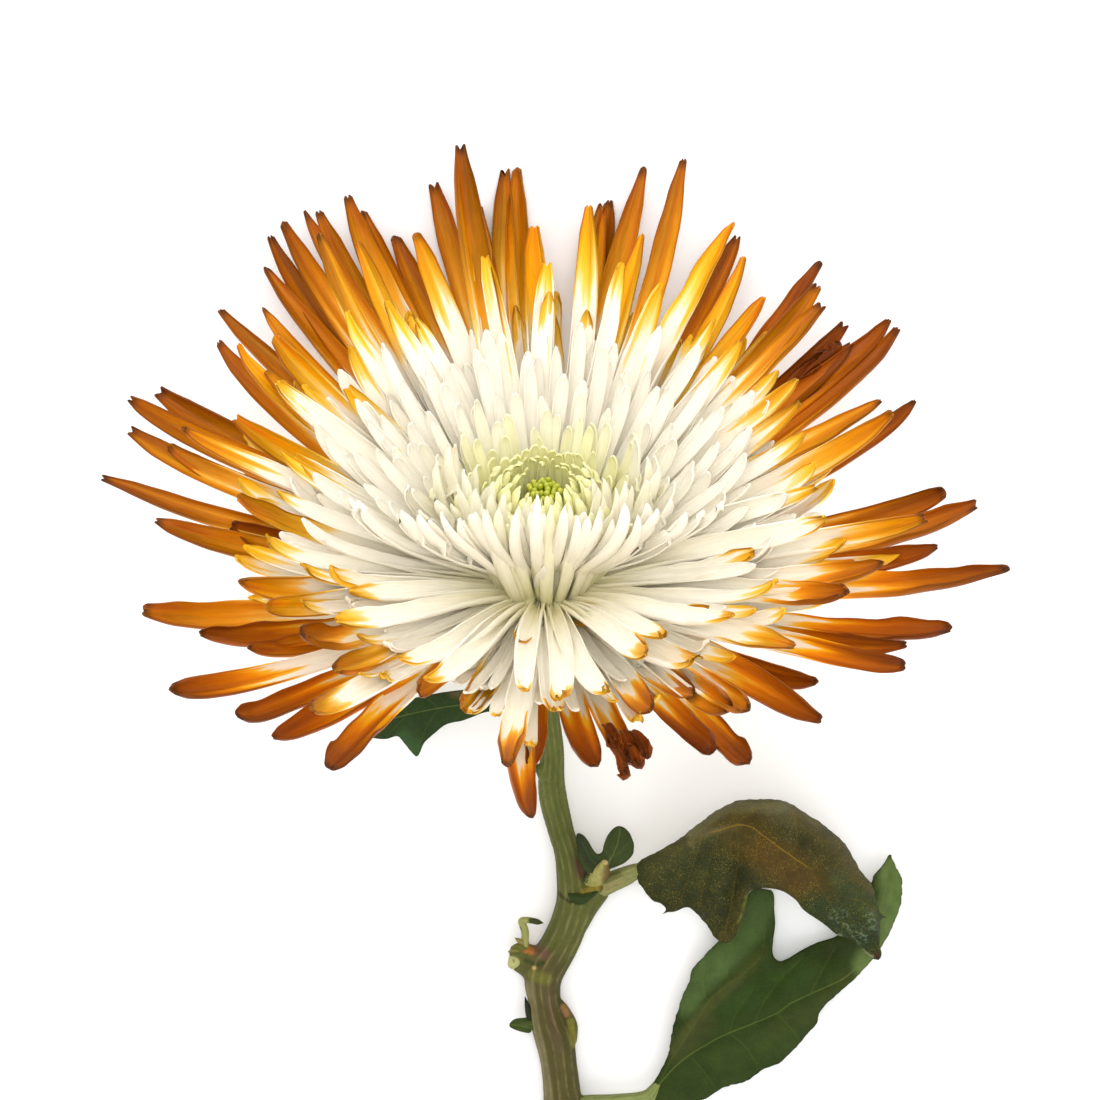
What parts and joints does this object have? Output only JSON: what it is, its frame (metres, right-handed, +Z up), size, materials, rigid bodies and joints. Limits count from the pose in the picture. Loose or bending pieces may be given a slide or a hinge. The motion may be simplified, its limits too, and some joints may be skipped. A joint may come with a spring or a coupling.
{
  "type": "spider chrysanthemum",
  "caption": "Cut spider chrysanthemum lying on its side: a wide head of long quilled florets round a green eye, on a short jointed stem with lobed leaves.",
  "frame": {"origin": "middle of the flower's outline seen from above, on the surface it lies on", "axes": "+Y along the stem from its cut end towards the head, +Z up from the surface, +X to the side the leaves are on"},
  "size_m": [0.1369, 0.1621, 0.0875],
  "materials": {
    "ray_florets": "matte, ivory at the base, amber to brown at the ends",
    "disc_florets": "matte",
    "involucre": "matte",
    "stem": "matte, ridged lengthways",
    "leaf_arched": "satin, veined",
    "leaf_lower": "satin, veined",
    "leaf_under_bloom": "satin, veined",
    "leaflet_round": "satin",
    "leaflet_low": "satin"
  },
  "bodies": {
    "root": {"ray_florets": "ray_florets", "disc_florets": "disc_florets", "involucre": "involucre", "stem": "stem", "leaf_arched": "leaf_arched", "leaf_lower": "leaf_lower", "leaf_under_bloom": "leaf_under_bloom", "leaflet_round": "leaflet_round", "leaflet_low": "leaflet_low"}
  },
  "joints": []
}
